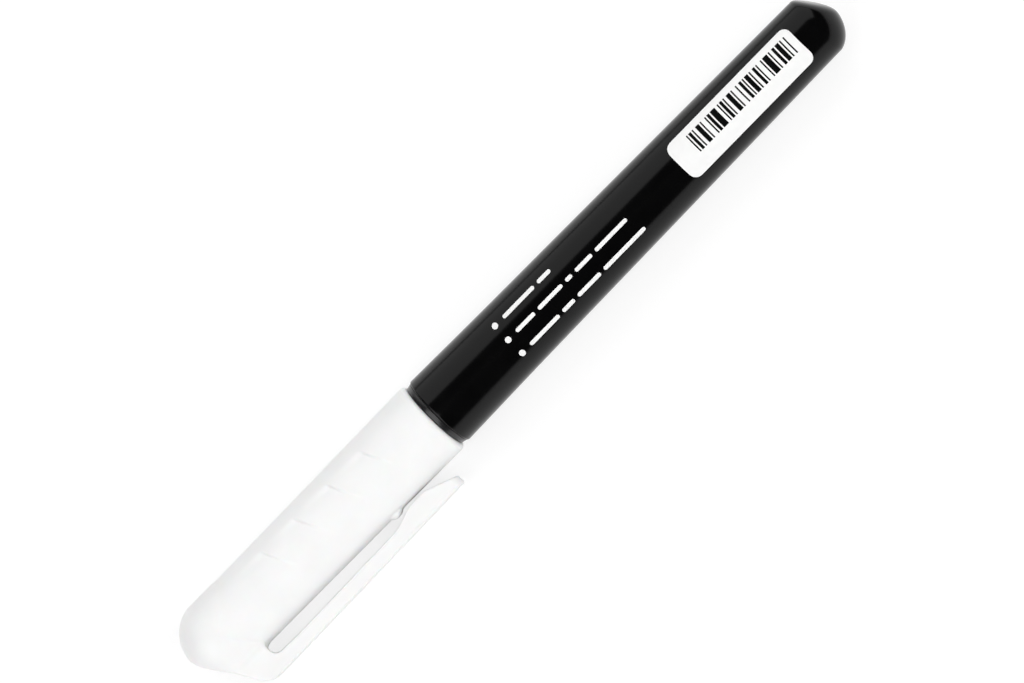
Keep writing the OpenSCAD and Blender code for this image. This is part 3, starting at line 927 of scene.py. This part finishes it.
def buildLamps():
    for name, s in lampSizes.items():
        data = bpy.data.lights.new(name, "AREA")
        data.shape = "RECTANGLE"
        data.size, data.size_y = s["size"]
        data.energy = s["bright"] * math.pi * math.prod(s["size"])
        lamp = bpy.data.objects.new(name, data)
        lamp.location = s["place"]
        towards = Vector(s["place"]) - Vector((s["aim"], 0, 0))
        lamp.rotation_euler = towards.to_track_quat("Z", "Y").to_euler()
        lamp.visible_camera = False
        lamp.visible_glossy = s["mirrored"]
        scene.collection.objects.link(lamp)


def buildRoom():
    # a dim room with a white band low on its walls, so that the floor's edge doesn't show
    world = bpy.data.worlds.new("studioRoom")
    world.use_nodes = True
    nodes, links = world.node_tree.nodes, world.node_tree.links
    parts = nodes.new("ShaderNodeSeparateXYZ")
    links.new(nodes.new("ShaderNodeTexCoord").outputs["Generated"], parts.inputs["Vector"])
    band = nodes.new("ShaderNodeMapRange")
    band.inputs["From Min"].default_value = roomSizes["bandFrom"]
    band.inputs["From Max"].default_value = roomSizes["bandTo"]
    band.inputs["To Min"].default_value = 1
    band.inputs["To Max"].default_value = roomSizes["glow"]
    links.new(parts.outputs["Z"], band.inputs["Value"])
    links.new(band.outputs["Result"], nodes["Background"].inputs["Strength"])
    nodes["Background"].inputs["Color"].default_value = (1, 1, 1, 1)
    scene.world = world


# middle is the pixel that shows the marker's middle
cameraSizes = {
    "tiltDeg": 7.0, "turnDeg": 45.64, "distance": 2.0, "sensor": 36.0, "clip": (0.1, 100.0),
    "pixelsPerMm": 6.645, "middle": (511.7, 337.0), "image": (1024, 683),
}


def buildCamera():
    # square to the label side, tipped a little to the tail,
    # and turned so that the marker runs up to the right
    c = cameraSizes
    tilt, turn = math.radians(c["tiltDeg"]), math.radians(c["turnDeg"])
    back = (alongDir * math.sin(tilt) - awayDir * math.cos(tilt)).normalized()
    run = (alongDir - back * alongDir.dot(back)).normalized()
    cross = back.cross(run)
    right = run * math.cos(turn) - cross * math.sin(turn)
    up = run * math.sin(turn) + cross * math.cos(turn)
    perPixel = mm / c["pixelsPerMm"]
    spot = Vector((0, axisStart.y, axisStart.z))
    spot += right * (c["image"][0] / 2 - c["middle"][0]) * perPixel
    spot -= up * (c["image"][1] / 2 - c["middle"][1]) * perPixel
    data = bpy.data.cameras.new("mainCamera")
    data.sensor_width = c["sensor"]
    data.lens = c["sensor"] * c["distance"] / (perPixel * c["image"][0])
    data.clip_start, data.clip_end = c["clip"]
    camera = bpy.data.objects.new("mainCamera", data)
    facing = Matrix((right, up, back)).transposed().to_4x4()
    camera.matrix_world = Matrix.Translation(spot + back * c["distance"]) @ facing
    scene.collection.objects.link(camera)
    scene.camera = camera


buildFloor()
buildLamps()
buildRoom()
buildCamera()
print("floor, light and camera set")
